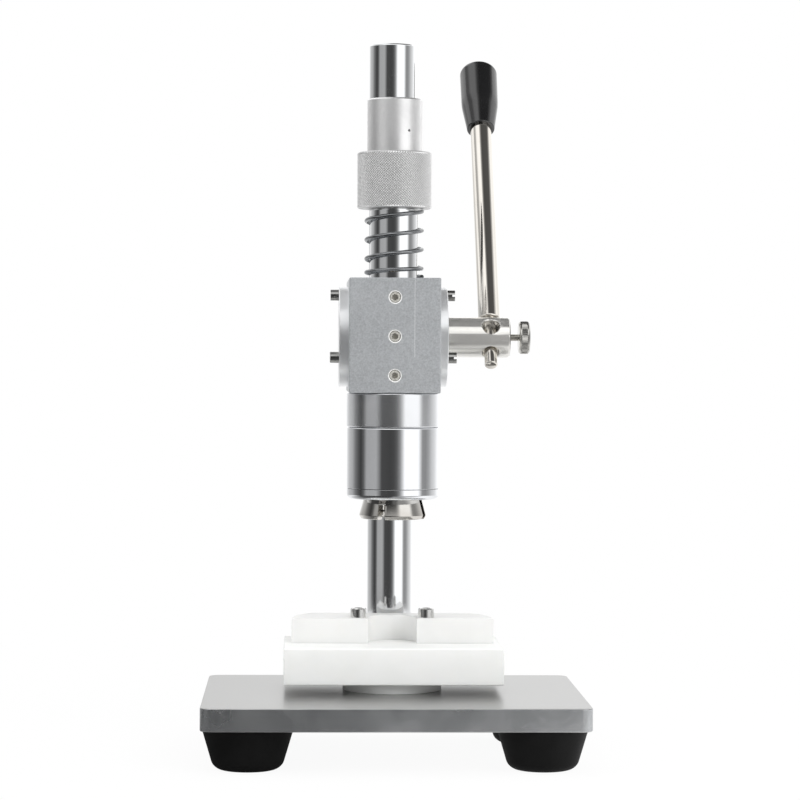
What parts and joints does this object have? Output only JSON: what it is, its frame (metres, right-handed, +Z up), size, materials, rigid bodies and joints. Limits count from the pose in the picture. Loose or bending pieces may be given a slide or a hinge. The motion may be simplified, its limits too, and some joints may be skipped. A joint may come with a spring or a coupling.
{
  "type": "vial crimper",
  "caption": "Bench crimper for capped vials: a hand lever turns a pinion that drives a rack ram, whose head closes its jaws on a cap over a slotted platform.",
  "frame": {"origin": "middle of the vial seat, on the platform's top face and on the ram axis", "axes": "+X right as seen from the front, +Y to the back where the pillar stands, +Z up along the ram"},
  "size_m": [0.2, 0.2272, 0.3844],
  "materials": {
    "satin_plate": "satin plated top with machined edges",
    "foot_rubber": "matt black",
    "zinc_screw": "bright zinc",
    "chrome_pillar": "polished hard chrome",
    "white_plastic": "slightly translucent white",
    "locator_plastic": "slightly translucent white",
    "blasted_block": "bead blasted",
    "cover_metal": "turned, brushed rim",
    "bush_bronze": "machined bronze",
    "gib_bronze": "machined bronze",
    "set_screw": "yellow zinc",
    "dark_screw": "dark steel",
    "nickel_shaft": "nickel plated",
    "nickel_rod": "polished nickel",
    "black_knob": "gloss black",
    "knurled_steel": "straight knurled",
    "ram_steel": "ground steel",
    "spring_steel": "dark spring wire",
    "cap_aluminium": "brushed round",
    "nut_aluminium": "diamond knurled",
    "head_chrome": "polished chrome",
    "core_steel": "machined steel",
    "jaw_steel": "hardened, ground"
  },
  "bodies": {
    "base": {"base_plate": "satin_plate", "foot_front_left": "foot_rubber", "foot_front_right": "foot_rubber", "foot_rear_left": "foot_rubber", "foot_rear_right": "foot_rubber", "foot_screws": "zinc_screw", "pillar": "chrome_pillar", "pillar_bolt": "zinc_screw", "pillar_washer": "zinc_screw", "platform_spacer": "white_plastic", "platform_block": "white_plastic", "platform_bolt": "zinc_screw", "platform_washer": "zinc_screw", "vial_locator": "locator_plastic", "locator_screws": "zinc_screw"},
    "head": {"head_block": "blasted_block", "guide_gib": "gib_bronze", "gib_screws": "set_screw", "clamp_screws": "zinc_screw", "left_bearing_cover": "cover_metal", "right_bearing_cover": "cover_metal", "left_bearing_bush": "bush_bronze", "right_bearing_bush": "bush_bronze", "cover_screws": "dark_screw", "return_spring": "spring_steel"},
    "pinion": {"pinion_shaft": "nickel_shaft"},
    "lever": {"lever_rod": "nickel_rod", "lever_knob": "black_knob"},
    "lever_lock": {"thumb_screw": "knurled_steel"},
    "ram_group": {"ram": "ram_steel", "ram_cap": "cap_aluminium", "head_adapter": "head_chrome", "crimp_sleeve": "head_chrome", "closing_ring": "head_chrome", "core_spring": "spring_steel"},
    "nut": {"adjusting_nut": "nut_aluminium"},
    "core": {"jaw_carrier": "core_steel", "plunger": "core_steel"},
    "front_jaw": {"jaw_front": "jaw_steel"},
    "right_jaw": {"jaw_right": "jaw_steel"},
    "back_jaw": {"jaw_back": "jaw_steel"},
    "left_jaw": {"jaw_left": "jaw_steel"}
  },
  "joints": [
    {"name": "head_height", "type": "slide", "parent": "base", "child": "head", "axis": [0, 0, 1], "range_m": [-0.02, 0.125]},
    {"name": "lever_turn", "type": "hinge", "parent": "head", "child": "pinion", "pos_m": [0, 0.019, 0.164], "axis": [1, 0, 0], "range_deg": [0, 150]},
    {"name": "ram_slide", "type": "slide", "parent": "head", "child": "ram_group", "axis": [0, 0, -1], "range_m": [0, 0.0235], "stiffness_N_per_m": 2500, "springref_m": -0.012, "deforming": ["return_spring"]},
    {"name": "lever_reach", "type": "slide", "parent": "pinion", "child": "lever", "axis": [0, 0.592, 0.8059], "range_m": [0, 0.012]},
    {"name": "lock_turn", "type": "hinge", "parent": "pinion", "child": "lever_lock", "pos_m": [0.07, 0.019, 0.164], "axis": [1, 0, 0], "continuous": true},
    {"name": "nut_turn", "type": "hinge", "parent": "ram_group", "child": "nut", "pos_m": [0, 0, 0.247], "axis": [0, 0, 1], "continuous": true},
    {"name": "core_slide", "type": "slide", "parent": "ram_group", "child": "core", "axis": [0, 0, 1], "range_m": [0, 0.005], "stiffness_N_per_m": 4000, "springref_m": -0.004, "deforming": ["core_spring"]},
    {"name": "front_jaw_close", "type": "hinge", "parent": "core", "child": "front_jaw", "pos_m": [0.00596, -0.01431, 0.091], "axis": [0.9232, 0.3843, 0], "range_deg": [0, 5.6]},
    {"name": "right_jaw_close", "type": "hinge", "parent": "core", "child": "right_jaw", "pos_m": [0.01431, 0.00596, 0.091], "axis": [-0.3843, 0.9232, 0], "range_deg": [0, 5.6]},
    {"name": "back_jaw_close", "type": "hinge", "parent": "core", "child": "back_jaw", "pos_m": [-0.00596, 0.01431, 0.091], "axis": [-0.9232, -0.3843, 0], "range_deg": [0, 5.6]},
    {"name": "left_jaw_close", "type": "hinge", "parent": "core", "child": "left_jaw", "pos_m": [-0.01431, -0.00596, 0.091], "axis": [0.3843, -0.9232, 0], "range_deg": [0, 5.6]}
  ],
  "couplings": [
    {"joint": "lever_turn", "follows": "ram_slide", "rad_per_m": 111.11},
    {"joint": "front_jaw_close", "follows": "core_slide", "rad_per_m": 19.2},
    {"joint": "right_jaw_close", "follows": "core_slide", "rad_per_m": 19.2},
    {"joint": "back_jaw_close", "follows": "core_slide", "rad_per_m": 19.2},
    {"joint": "left_jaw_close", "follows": "core_slide", "rad_per_m": 19.2}
  ]
}
